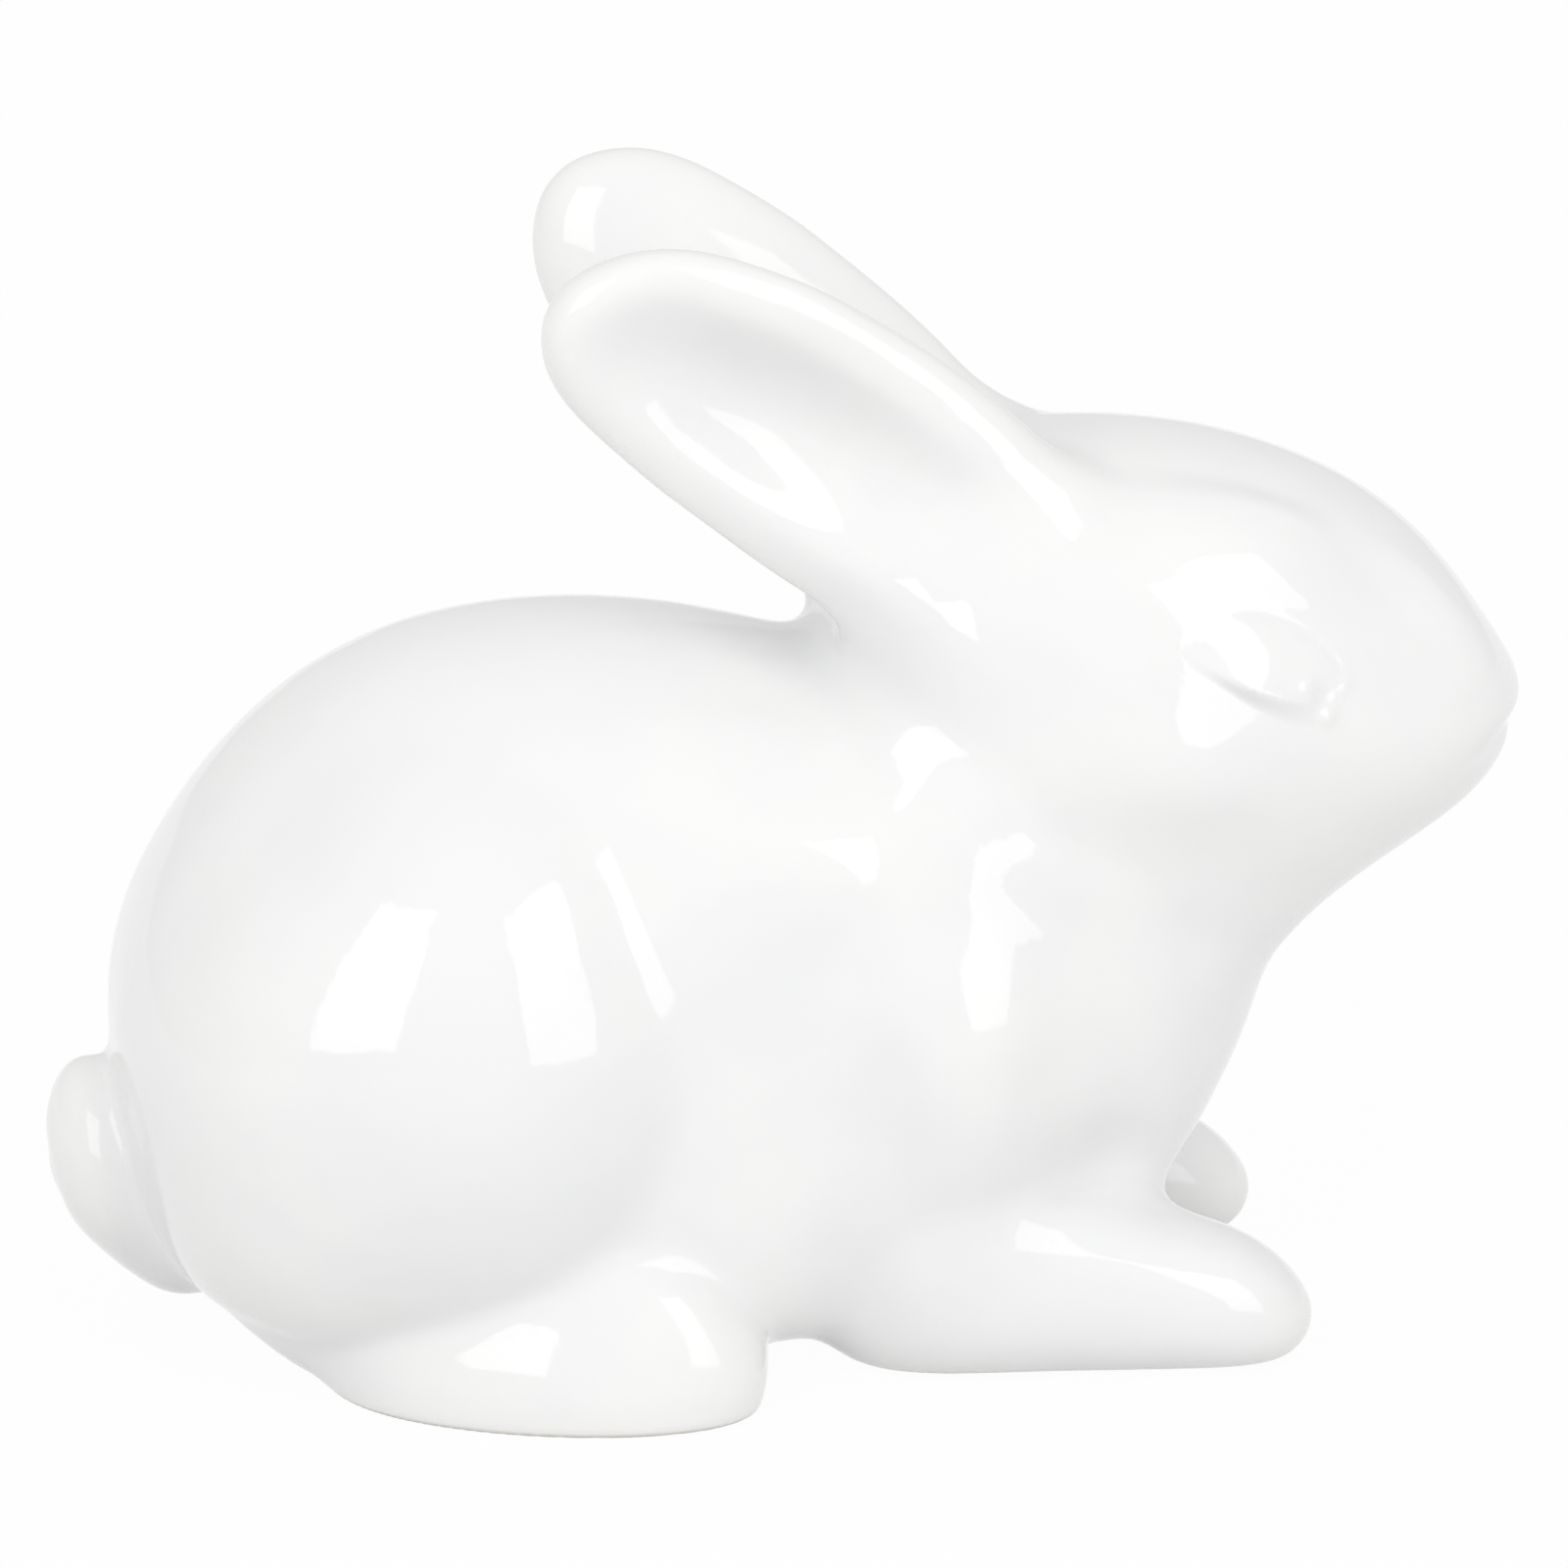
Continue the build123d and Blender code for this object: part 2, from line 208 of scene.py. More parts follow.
def sample(grid, values, points, outside=BAND):
    """Values read off a field between its cells, at points in millimetres."""
    places = points / VOXEL - grid.start
    cells = np.floor(places).astype(int)
    parts = places - cells
    inside = ((cells >= 0) & (cells < np.array(values.shape) - 1)).all(axis=1)
    cells = np.clip(cells, 0, np.array(values.shape) - 2)
    total = np.zeros(len(points))
    for corner in np.ndindex(2, 2, 2):
        across, along, up = np.abs(1 - np.array(corner) - parts).T
        i, j, k = (cells + corner).T
        total += across * along * up * values[i, j, k]
    return np.where(inside, total, outside)


def bell(distance, reach):
    """1 at no distance, falling off smoothly over the reach."""
    return np.exp(-((distance / reach) ** 2))


def ramp(values, low, high):
    """A smooth step from 0 at low to 1 at high."""
    share = np.clip((values - low) / (high - low), 0, 1)
    return share * share * (3 - 2 * share)


def ellipsoid(x, y, z, middle, radii, turn_angle=0.0):
    """The distance to a pair of ellipsoids, one on each side of the rabbit, turned about the vertical."""
    turn = math.radians(turn_angle)
    across = np.abs(y) - middle[1]
    along = (x - middle[0]) * math.cos(turn) + across * math.sin(turn)
    across = -(x - middle[0]) * math.sin(turn) + across * math.cos(turn)
    up = z - middle[2]
    size = np.sqrt((along / radii[0]) ** 2 + (across / radii[1]) ** 2 + (up / radii[2]) ** 2)
    slope = np.sqrt((along / radii[0] ** 2) ** 2 + (across / radii[1] ** 2) ** 2 + (up / radii[2] ** 2) ** 2)
    return (size * (size - 1) / np.maximum(slope, 1e-6)).astype(np.float32)


# How far out from the rabbit's middle the soft forms of its flanks start and are whole
FLANK_SIDE = (6.0, 16.0)
# Those forms on both flanks: middle as x and z, reach along x and z, and rise, in millimetres
FLANK_SWELLS = (
    (9.5, 33.0, 9.2, 14.1, 3.0),
    (6.0, 33.5, 3.7, 5.7, 0.9),
    (-9.5, 38.0, 8.5, 15.5, 1.4),
    (3.0, 46.5, 9.9, 7.1, 2.7),
    (-17.0, 36.0, 5.7, 19.8, -0.5),
    (-41.0, 38.0, 9.9, 17.0, -0.8),
)
# The dome of each haunch, which ends in a crease on the flank, the heel and sole of each hind foot,
# and the fullness under the tail: middle, radii, and how widely its joint is rounded
HAUNCH = ((-26.7, 6.3, 27.4), (22.0, 24.7, 27.8), 1.5)
HEEL = ((-21.5, 19.8, 2.3), (17.5, 9.0, 10.6), 2.0)
TAIL_ROOT = ((-50.0, 0.0, 10.8), (7.6, 7.0, 7.4), 2.5)
# How far the heel's length points outwards, in degrees
HEEL_TURN_ANGLE = 17.0


def shape_body(grid, skin):
    """The body's skin with the swellings and hollows of its flanks, its haunches and the tail's root."""
    side = ramp(np.abs(grid.y), *FLANK_SIDE)
    for middle_x, middle_z, reach_x, reach_z, rise in FLANK_SWELLS:
        skin = skin - rise * side * bell(grid.x - middle_x, reach_x) * bell(grid.z - middle_z, reach_z)
    for middle, radii, rounding in (HAUNCH, TAIL_ROOT):
        skin = smooth_min(skin, ellipsoid(grid.x, grid.y, grid.z, middle, radii), rounding)
    return skin


def whole_skin(grid):
    """The glazed outside of the whole rabbit, and each added piece's own field with its window."""
    whole = tuple(slice(0, count) for count in grid.shape)
    skin = shape_body(grid, blur(trunk_field(grid, whole), TRUNK_EASE))
    own = {}
    for name in TRUNK:
        own[name] = (whole, grid.read(level_set(node_mesh(name)), whole))
    for name, (radius, ease) in JOINTS.items():
        low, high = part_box(name)
        window = grid.window(low, high, BAND)
        own[name] = (window, grid.read(level_set(node_mesh(name)), window))
        skin[window] = smooth_min(skin[window], blur(own[name][1], ease), radius)
    middle, radii, rounding = HEEL
    heel = ellipsoid(grid.x, grid.y, grid.z, middle, radii, HEEL_TURN_ANGLE)
    skin = blur(smooth_min(skin, heel, rounding), SKIN_EASE)
    # The ground at z = 0 cuts the soles flat
    return -smooth_min(-skin, grid.z, SOLE_ROUNDING), own


# Relief, finer than the lattice

# How far out from the rabbit's middle the relief of head and legs, and that of the ears, starts and is whole
RELIEF_SIDE = (8.0, 12.0)
EAR_SIDE = (4.0, 9.0)
# Broad swellings on both sides of the head, and a hollow between eye and nose: middle as x and z,
# reach along x and z, and rise, in millimetres
HEAD_SWELLS = (
    (36.0, 68.8, 11.0, 5.0, 1.0),
    (26.0, 52.3, 7.0, 6.5, 0.95),
    (31.5, 49.0, 7.0, 5.0, 0.9),
    (48.0, 61.0, 8.0, 9.0, -1.1),
)
# Hollows on both sides between chest and foreleg, above the paw and behind the foreleg, and one swelling
LEG_HOLLOWS = (
    (22.5, 17.5, 5.5, 4.5, -1.5),
    (19.0, 25.0, 4.0, 8.0, -0.8),
    (2.0, 9.0, 4.5, 6.5, -0.8),
    (10.0, 13.0, 5.0, 9.0, 0.6),
)
# The tail's underside, drawn in: middle as x and z, reach and rise
TAIL_HOLLOW = (-57.0, 4.5, 5.0, -2.2)
# The closed eye, a lid that overhangs a crease: its middle as x and z, the tilt of its long axis, half its
# length, and how far along the axis that length is centred
EYE_MIDDLE = (34.9, 59.5)
EYE_TILT_ANGLE = -24.0
EYE_HALF_LENGTH = 7.8
EYE_SHIFT = 1.2
# The crease: how far it sags below the axis, its widths at back and front, where along the axis it widens,
# and how far above it the lid is at its full rise, as a share of that width
CREASE_SAG = 2.0
CREASE_BACK_WIDTH = 0.9
CREASE_FRONT_WIDTH = 2.2
CREASE_WIDENS = (-3.0, 7.0)
CREASE_LIP_SHARE = 0.25
# The lid: its rise over the crease, the height it fades over, where along the axis the rise starts and is
# whole, and how sharply it ends at the corners and fades upwards
LID_RISE = 1.15
LID_HEIGHT = 5.6
LID_STARTS = (-6.0, 1.5)
LID_END_POWER = 1.4
LID_FADE_POWER = 1.7
# The fold above the lid: its height over the axis, depth and width, how it bends and where it fades out
FOLD_RISE = 3.4
FOLD_DEPTH = 0.09
FOLD_WIDTH = 0.45
FOLD_BEND_POWER = 0.7
FOLD_ENDS = (0.1, 0.5)
# The hollow under the brow: its place along and across, its reach each way and its depth
BROW_HOLLOW = (0.5, 4.2, 7.5, 1.8, 0.5)
# Small swellings and hollows at the eye's front corner: along and across its long axis, reach and rise
EYE_DABS = (
    (6.9, -0.9, 0.9, -0.25),
    (8.0, -2.2, 0.8, 0.25),
    (5.2, -0.3, 0.7, 0.12),
    (8.6, 0.6, 0.7, 0.14),
)
# The notch between nose and lip: how high it is, its depth and width, where along x it starts and is
# whole, and how far it droops to each side
NOTCH_HEIGHT = 49.9
NOTCH_DEPTH = 0.55
NOTCH_WIDTH = 1.1
NOTCH_STARTS = (53.0, 57.5)
NOTCH_DROOP_SHARE = 0.12
# The slant across the floor of each ear's dish: middle as x and z, tilt, how wide the slant is,
# how far it reaches along and across, and its height
DISH_MIDDLE = (-2.6, 74.0)
DISH_TILT_ANGLE = -38.0
SLANT_WIDTH = 2.0
SLANT_LENGTH = 7.5
SLANT_REACH = 5.5
SLANT_RISE = 0.5
# Swellings that fill the lower end of the dish: middle as x and z, reach along and across, and rise
EAR_SWELLS = (
    (5.5, 69.5, 7.0, 7.0, 1.6),
    (11.0, 64.0, 7.0, 8.0, 1.2),
)
EAR_SWELL_TILT_ANGLE = -30.0


def turned(x, z, middle, angle):
    """Places along and across an axis that is tilted in the rabbit's side view."""
    turn = math.radians(angle)
    along = (x - middle[0]) * math.cos(turn) + (z - middle[1]) * math.sin(turn)
    return along, -(x - middle[0]) * math.sin(turn) + (z - middle[1]) * math.cos(turn)


def eye_relief(x, z):
    """The closed eye: lid over crease, the fold above, the hollow under the brow and its front corner."""
    along, across = turned(x, z, EYE_MIDDLE, EYE_TILT_ANGLE)
    ends = np.clip(1 - ((along - EYE_SHIFT) / EYE_HALF_LENGTH) ** 2, 0, 1)
    over = across + CREASE_SAG * np.sqrt(ends)
    width = CREASE_BACK_WIDTH + (CREASE_FRONT_WIDTH - CREASE_BACK_WIDTH) * ramp(along, *CREASE_WIDENS)
    lid = LID_RISE * ramp(along, *LID_STARTS) * ends**LID_END_POWER
    fade = np.clip(1 - np.maximum(over, 0) / LID_HEIGHT, 0, 1) ** LID_FADE_POWER
    height = lid * fade * ramp(over, -width, CREASE_LIP_SHARE * width)
    hollow_along, hollow_across, reach_along, reach_across, depth = BROW_HOLLOW
    height -= depth * bell(along - hollow_along, reach_along) * bell(across - hollow_across, reach_across)
    fold = bell(across - FOLD_RISE * ends**FOLD_BEND_POWER, FOLD_WIDTH)
    height -= FOLD_DEPTH * ramp(ends, *FOLD_ENDS) * fold
    for dab_along, dab_across, reach, rise in EYE_DABS:
        height += rise * bell(np.hypot(along - dab_along, across - dab_across), reach)
    return height


def carving(points):
    """How far the surface stands out from the lattice's skin at points, in millimetres."""
    x, y, z = points.T
    height = eye_relief(x, z)
    for middle_x, middle_z, reach_x, reach_z, rise in HEAD_SWELLS + LEG_HOLLOWS:
        height += rise * bell(x - middle_x, reach_x) * bell(z - middle_z, reach_z)
    height *= ramp(np.abs(y), *RELIEF_SIDE)
    middle_x, middle_z, reach, rise = TAIL_HOLLOW
    height += rise * bell(np.hypot(x - middle_x, z - middle_z), reach)
    notch = bell(z - NOTCH_HEIGHT + NOTCH_DROOP_SHARE * np.abs(y), NOTCH_WIDTH)
    height -= NOTCH_DEPTH * notch * ramp(x, *NOTCH_STARTS)
    along, across = turned(x, z, DISH_MIDDLE, DISH_TILT_ANGLE)
    ear = -SLANT_RISE * np.tanh(across / SLANT_WIDTH)
    ear *= bell(across, SLANT_REACH) * bell(along, SLANT_LENGTH)
    for middle_x, middle_z, reach_along, reach_across, rise in EAR_SWELLS:
        along, across = turned(x, z, (middle_x, middle_z), EAR_SWELL_TILT_ANGLE)
        ear += rise * bell(along, reach_along) * bell(across, reach_across)
    return height + ear * ramp(np.abs(y), *EAR_SIDE)


# Meshing

def edge_pairs(quads):
    """Each edge's two points, and the two quads on either side of it."""
    ends = np.concatenate([quads[:, [i, (i + 1) % 4]] for i in range(4)])
    faces = np.tile(np.arange(len(quads)), 4)
    ends.sort(axis=1)
    order = np.lexsort((ends[:, 1], ends[:, 0]))
    ends = ends[order]
    faces = faces[order]
    same = (ends[1:] == ends[:-1]).all(axis=1)
    first = np.flatnonzero(same)
    return ends[first], faces[first], faces[first + 1]


def gradient_at(grid, slopes, points):
    """The field's slope at points, as rows of x, y and z."""
    return np.stack([sample(grid, slope, points, 0.0) for slope in slopes], axis=1)


def settle(grid, skin, slopes, points, rounds=3):
    """Points moved on to the surface where the field is zero."""
    for _ in range(rounds):
        slope = gradient_at(grid, slopes, points)
        square = np.maximum((slope**2).sum(axis=1), LEAST_SQUARE)
        points = points - slope * (sample(grid, skin, points) / square)[:, None]
    return points


def carved_slope(grid, slopes, points):
    """The slope of the carved skin's field at points."""
    steps = np.eye(3) * CARVING_STEP
    carved = [(carving(points + step) - carving(points - step)) / (2 * CARVING_STEP) for step in steps]
    return gradient_at(grid, slopes, points) - np.stack(carved, axis=1)


def carve(grid, skin, slopes, points, rounds=4):
    """Points moved on to the carved surface, and its normals there."""
    for _ in range(rounds):
        slope = carved_slope(grid, slopes, points)
        square = np.maximum((slope**2).sum(axis=1), LEAST_CARVED_SQUARE)
        miss = sample(grid, skin, points) - carving(points)
        points = points - slope * (miss / square)[:, None]
    normals = carved_slope(grid, slopes, points)
    return points, normals / np.linalg.norm(normals, axis=1)[:, None]


def finer(points, quads, chosen, splits):
    """The chosen quads cut into a finer lattice.

    Returns all the points, the plain quads, the fine quads, and the wider polygons round about that take in
    the fine lattice's edge points, with the index of the old quad that each came from.
    """
    corners = quads[chosen]
    ends = np.stack([corners, np.roll(corners, -1, axis=1)], axis=2)
    low = ends.min(axis=2)
    high = ends.max(axis=2)
    keys, edge_of = np.unique(low * len(points) + high, return_inverse=True)
    edge_of = edge_of.reshape(low.shape)
    parts = np.arange(1, splits) / splits
    first = points[keys // len(points)]
    last = points[keys % len(points)]
    on_edges = first[:, None] + (last - first)[:, None] * parts[None, :, None]
    edge_start = len(points)
    inner_start = edge_start + len(keys) * (splits - 1)
    ids = np.empty((len(corners), splits + 1, splits + 1), int)
    ids[:, 0, 0], ids[:, splits, 0], ids[:, splits, splits], ids[:, 0, splits] = corners.T
    steps = np.arange(splits - 1)
    runs = []
    for side in range(4):
        forward = (ends[:, side, 0] == low[:, side])[:, None]
        run_start = edge_start + edge_of[:, side, None] * (splits - 1)
        runs.append(run_start + np.where(forward, steps, steps[::-1]))
    ids[:, 1:splits, 0] = runs[0]
    ids[:, splits, 1:splits] = runs[1]
    ids[:, 1:splits, splits] = runs[2][:, ::-1]
    ids[:, 0, 1:splits] = runs[3][:, ::-1]
    inner = (splits - 1) ** 2
    inner_ids = inner_start + np.arange(len(corners) * inner)
    ids[:, 1:splits, 1:splits] = inner_ids.reshape(-1, splits - 1, splits - 1)
    u = parts[None, :, None, None]
    v = parts[None, None, :, None]
    a, b, c, d = [points[corners[:, i]][:, None, None] for i in range(4)]
    inside = a * (1 - u) * (1 - v) + b * u * (1 - v) + c * u * v + d * (1 - u) * v
    all_points = np.concatenate([points, on_edges.reshape(-1, 3), inside.reshape(-1, 3)])
    fine = np.stack([ids[:, :-1, :-1], ids[:, 1:, :-1], ids[:, 1:, 1:], ids[:, :-1, 1:]], axis=3)
    fine = fine.reshape(-1, 4)
    fine_from = np.repeat(np.flatnonzero(chosen), splits * splits)
    edges = {key: edge_start + i * (splits - 1) for i, key in enumerate(keys.tolist())}
    rest = ~chosen
    sides = np.stack([quads, np.roll(quads, -1, axis=1)], axis=2)
    near = np.isin(sides.min(axis=2) * len(points) + sides.max(axis=2), keys).any(axis=1) & rest
    wide = []
    for index in np.flatnonzero(near):
        polygon = []
        for start, end in sides[index].tolist():
            polygon.append(start)
            found = edges.get(min(start, end) * len(points) + max(start, end))
            if found is not None:
                run = list(range(found, found + splits - 1))
                polygon += run if start < end else run[::-1]
        wide.append((index, polygon))
    return all_points, np.flatnonzero(rest & ~near), fine, fine_from, wide


def own_values(grid, own, name, points):
    """How far points lie from one CAD node."""
    window, values = own[name]
    shift = np.array([part.start for part in window]) * VOXEL
    return sample(grid, values, points - shift)


def label_faces(grid, own, centres, first, second):
    """Which CAD node each face stands for: the nearest one, with stray faces given to their neighbours."""
    names = list(own)
    distance = np.stack([own_values(grid, own, name, centres) for name in names])
    labels = distance.argmin(axis=0)
    for _ in range(VOTE_ROUNDS):
        votes = np.zeros((len(names), len(labels)), int)
        np.add.at(votes, (labels[second], first), 1)
        np.add.at(votes, (labels[first], second), 1)
        best = votes.argmax(axis=0)
        labels = np.where(votes.max(axis=0) >= VOTES_NEEDED, best, labels)
    for _ in range(STRAY_ROUNDS):
        island = islands(labels, first, second)
        sizes = np.bincount(island, minlength=len(labels))
        largest = np.zeros(len(names), int)
        np.maximum.at(largest, labels, sizes[island])
        stray = sizes[island] < largest[labels]
        if not stray.any():
            break
        give = stray[first] & ~stray[second]
        take = stray[second] & ~stray[first]
        labels[first[give]] = labels[second[give]]
        labels[second[take]] = labels[first[take]]
    return names, labels


def islands(labels, first, second):
    """A number for each connected patch of faces with one label."""
    joined = labels[first] == labels[second]
    one = first[joined]
    two = second[joined]
    number = np.arange(len(labels))
    while True:
        before = number.copy()
        low = np.minimum(number[one], number[two])
        np.minimum.at(number, one, low)
        np.minimum.at(number, two, low)
        number = number[number]
        if (number == before).all():
            return number


def snap_borders(grid, own, names, skin, slopes, points, ends, first, second, labels, rounds=3):
    """Border points moved along the surface on to the line midway between two pieces."""
    border = labels[first] != labels[second]
    pairs = np.sort(np.stack([labels[first], labels[second]], axis=1), axis=1)
    longest = BORDER_STEP_SHARE * VOXEL
    steps = np.eye(3) * VOXEL / 2
    for pair in np.unique(pairs[border], axis=0):
        mine = border & (pairs == pair).all(axis=1)
        others = border & ~mine
        chosen = np.setdiff1d(np.unique(ends[mine]), np.unique(ends[others]))
        one, other = [names[index] for index in pair]

        def gap(places):
            return own_values(grid, own, one, places) - own_values(grid, own, other, places)

        for _ in range(rounds):
            places = points[chosen]
            slope = np.stack([(gap(places + step) - gap(places - step)) / VOXEL for step in steps], axis=1)
            normal = gradient_at(grid, slopes, places)
            normal /= np.linalg.norm(normal, axis=1)[:, None]
            slope -= normal * (slope * normal).sum(axis=1)[:, None]
            square = np.maximum((slope**2).sum(axis=1), LEAST_BORDER_SQUARE)
            move = -slope * (gap(places) / square)[:, None]
            length = np.linalg.norm(move, axis=1)[:, None]
            move *= np.minimum(1, longest / np.maximum(length, 1e-9))
            points[chosen] = settle(grid, skin, slopes, places + move)
    return points


def border_loops(faces):
    """The closed runs of points along a patch's open edges, in the faces' own direction."""
    ends = np.concatenate([faces[:, [i, (i + 1) % 4]] for i in range(4)])
    count = int(ends.max()) + 1
    keys = ends[:, 0] * count + ends[:, 1]
    back = ends[:, 1] * count + ends[:, 0]
    open_ends = ends[~np.isin(keys, back)]
    onward = {}
    for a, b in open_ends:
        onward.setdefault(int(a), []).append(int(b))
    loops = []
    while onward:
        start = next(iter(onward))
        loop = [start]
        while True:
            choices = onward[loop[-1]]
            point = choices.pop()
            if not choices:
                del onward[loop[-1]]
            if point == start:
                break
            loop.append(point)
        loops.append(loop)
    return loops


def close_patch(points, normals, coarse, rows, wide):
    """A patch's faces, with a hidden cap sunk below the glaze over each opening.

    Returns which points the patch uses, all its places, its faces, and how many of those are glazed.
    """
    used = np.unique(np.concatenate([rows.ravel()] + [np.array(polygon) for polygon in wide]))
    compact = np.zeros(len(points), int)
    compact[used] = np.arange(len(used))
    shape = compact[rows].tolist() + [compact[polygon].tolist() for polygon in wide]
    places = [tuple(point) for point in points[used]]
    glazed = len(shape)
    for loop in border_loops(compact[coarse]):
        rim = points[used[loop]]
        sunk = rim - CAP_DEPTH * normals[used[loop]]
        centre = sunk.mean(axis=0)
        rings = [loop]
        for share in CAP_RINGS:
            ring = sunk + share * (centre - sunk)
            rings.append(list(range(len(places), len(places) + len(ring))))
            places += [tuple(point) for point in ring]
        middle = len(places)
        places.append(tuple(centre))
        count = len(loop)
        around = [(i, (i + 1) % count) for i in range(count)]
        for outer, inner in zip(rings, rings[1:]):
            shape += [[outer[after], outer[i], inner[i], inner[after]] for i, after in around]
        shape += [[rings[-1][after], rings[-1][i], middle] for i, after in around]
    return used, np.array(places), shape, glazed


def make_piece(name, points, normals, patch, pool_and_shade_values, material):
    """A closed mesh object for one CAD node's part of the skin."""
    used, places, shape, glazed_count = close_patch(points, normals, *patch)
    mesh = bpy.data.meshes.new(name + "_skin")
    mesh.from_pydata((places * MM).tolist(), [], shape)
    mesh.update()
    mesh.polygons.foreach_set("use_smooth", [True] * len(mesh.polygons))
    # Each point's hollowness, kept for the glaze's pooled colour and the painted shade in creases
    pool_and_shade = mesh.attributes.new("pool_and_shade", "FLOAT", "POINT")
    values = np.zeros(len(places), np.float32)
    values[:len(used)] = pool_and_shade_values[used]
    pool_and_shade.data.foreach_set("value", values)
    corners = np.empty(len(mesh.loops) * 3, np.float32)
    mesh.corner_normals.foreach_get("vector", corners)
    corners = corners.reshape(-1, 3)
    owners = np.empty(len(mesh.loops), np.int32)
    mesh.loops.foreach_get("vertex_index", owners)
    glazed = np.arange(len(mesh.loops)) < sum(len(face) for face in shape[:glazed_count])
    corners[glazed] = normals[used][owners[glazed]]
    mesh.normals_split_custom_set(corners.tolist())
    mesh.materials.append(material)
    piece = bpy.data.objects.new(name + "_glazed", mesh)
    bpy.context.scene.collection.objects.link(piece)
    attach(piece, "root")
    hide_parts(name)


def choose_fine(points, quads, labels, first, second, head):
    """The head's faces that lie in the fine boxes and don't touch a border between pieces."""
    middles = points[quads].mean(axis=1)
    chosen = np.zeros(len(quads), bool)
    for low, high in FINE_BOXES:
        chosen |= ((middles > low) & (middles < high)).all(axis=1)
    chosen &= labels == head
    border = labels[first] != labels[second]
    chosen[first[border]] = False
    chosen[second[border]] = False
    return chosen


def build_rabbit(material):
    """Meshes the skin, shares its faces out among the CAD nodes and makes a piece for each."""
    lows, highs = zip(*[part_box(name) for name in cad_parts])
    grid = Grid(np.min(lows, axis=0), np.max(highs, axis=0))
    skin, own = whole_skin(grid)
    slopes = np.gradient(skin, VOXEL)
    volume = vdb.FloatGrid(BAND)
    volume.transform = vdb.createLinearTransform(voxelSize=VOXEL)
    volume.copyFromArray(skin, ijk=tuple(int(start) for start in grid.start))
    points, _, quads = volume.convertToPolygons(isovalue=0, adaptivity=0)
    quads = quads.astype(np.int64)
    points = settle(grid, skin, slopes, points.astype(float))
    ends, first, second = edge_pairs(quads)
    names, labels = label_faces(grid, own, points[quads].mean(axis=1), first, second)
    points = snap_borders(grid, own, names, skin, slopes, points, ends, first, second, labels)
    corners = points[quads]
    facing = np.cross(corners[:, 1] - corners[:, 0], corners[:, 2] - corners[:, 0])
    if (facing * gradient_at(grid, slopes, points[quads[:, 0]])).sum() < 0:
        quads = quads[:, ::-1]
    fine_faces = choose_fine(points, quads, labels, first, second, names.index("head_shell"))
    points, plain, fine, fine_from, wide = finer(points, quads, fine_faces, FINE_SPLITS)
    points, normals = carve(grid, skin, slopes, points)
    # How hollow the skin is at each point: the glaze is painted darker there, partly as pooled glaze and
    # partly as painted shade
    pool_and_shade_values = sample(grid, skin - blur(skin, POOL_AND_SHADE_WIDTH), points, 0.0)
    for index, name in enumerate(names):
        mine = labels == index
        rows = np.concatenate([quads[plain[mine[plain]]], fine[mine[fine_from]]])
        patch = (quads[mine], rows, [polygon for face, polygon in wide if mine[face]])
        make_piece(name, points, normals, patch, pool_and_shade_values, material)


# Materials

GLAZE_IOR = 1.5
GLAZE_PALE = (0.875, 0.875, 0.868)
GLAZE_DEEP = (0.850, 0.853, 0.852)
# Pooled glaze in creases, bluer and darker: the darkening is partly painted shade
GLAZE_POOLED_AND_SHADED = (0.800, 0.807, 0.812)
GLAZE_THIN = (0.890, 0.884, 0.870)
SPECK_BROWN = (0.42, 0.38, 0.34)
BARE_CLAY = (0.80, 0.775, 0.73)
# The glaze's clouds: noise scale in waves to the metre, noise detail, and the noise at their two ends
CLOUDS = (55.0, 3.0)
CLOUDS_SPAN = (0.35, 0.65)
# Where the glaze counts as pooled, darkened there with painted shade in the creases, and where it counts as
# thin, by how hollow the skin is
POOLED_AND_SHADED_SPAN = (0.15, 0.9)
THIN_SPAN = (-0.9, -0.3)
# The gloss: noise scale and detail, the noise at its two ends, and the roughness there
GLOSS = (210.0, 4.0)
GLOSS_SPAN = (0.3, 0.7)
GLOSS_ROUGHNESS = (0.035, 0.075)
# Ripples in the glaze and its orange peel: waves to the metre and depth in metres, and both's noise detail
RIPPLE = (105.0, 0.00030)
ORANGE_PEEL = (900.0, 0.000010)
SURFACE_DETAIL = 1.0
# Specks: cells to the metre, the share of cells that surely hold one, how much further they fade, and
# a speck's reach in cells
SPECKS_SCALE = 120.0
SPECKS_CHANCE = 0.05
SPECKS_CHANCE_EDGE = 0.01
SPECK_SIZE = 0.028
# The wiped soles: how high the clay is bare and where the glaze is whole, in metres, the clay's roughness,
# and its grain as noise scale, noise detail and depth in metres
SOLE_HEIGHTS = (0.00035, 0.00075)
CLAY_ROUGHNESS = 0.85
CLAY_GRAIN = (2600.0, 3.0)
CLAY_GRAIN_DEPTH = 0.00008


def new_material(name):
    """An empty node material with its output, as the material, its nodes and its links."""
    material = bpy.data.materials.new(name)
    material.use_nodes = True
    tree = material.node_tree
    tree.nodes.clear()
    return material, tree.nodes, tree.links


def noise(nodes, links, place, scale, detail):
    """Cloudy noise over the rabbit, from 0 to 1. The scale is in waves to the metre."""
    texture = nodes.new("ShaderNodeTexNoise")
    texture.inputs["Scale"].default_value = scale
    texture.inputs["Detail"].default_value = detail
    links.new(place, texture.inputs["Vector"])
    return texture.outputs["Fac"]


def spread(nodes, links, value, low, high, to_low, to_high):
    """A value spread smoothly from one range to another, and held at its ends."""
    node = nodes.new("ShaderNodeMapRange")
    node.interpolation_type = "SMOOTHSTEP"
    node.inputs["From Min"].default_value = low
    node.inputs["From Max"].default_value = high
    node.inputs["To Min"].default_value = to_low
    node.inputs["To Max"].default_value = to_high
    links.new(value, node.inputs["Value"])
    return node.outputs["Result"]


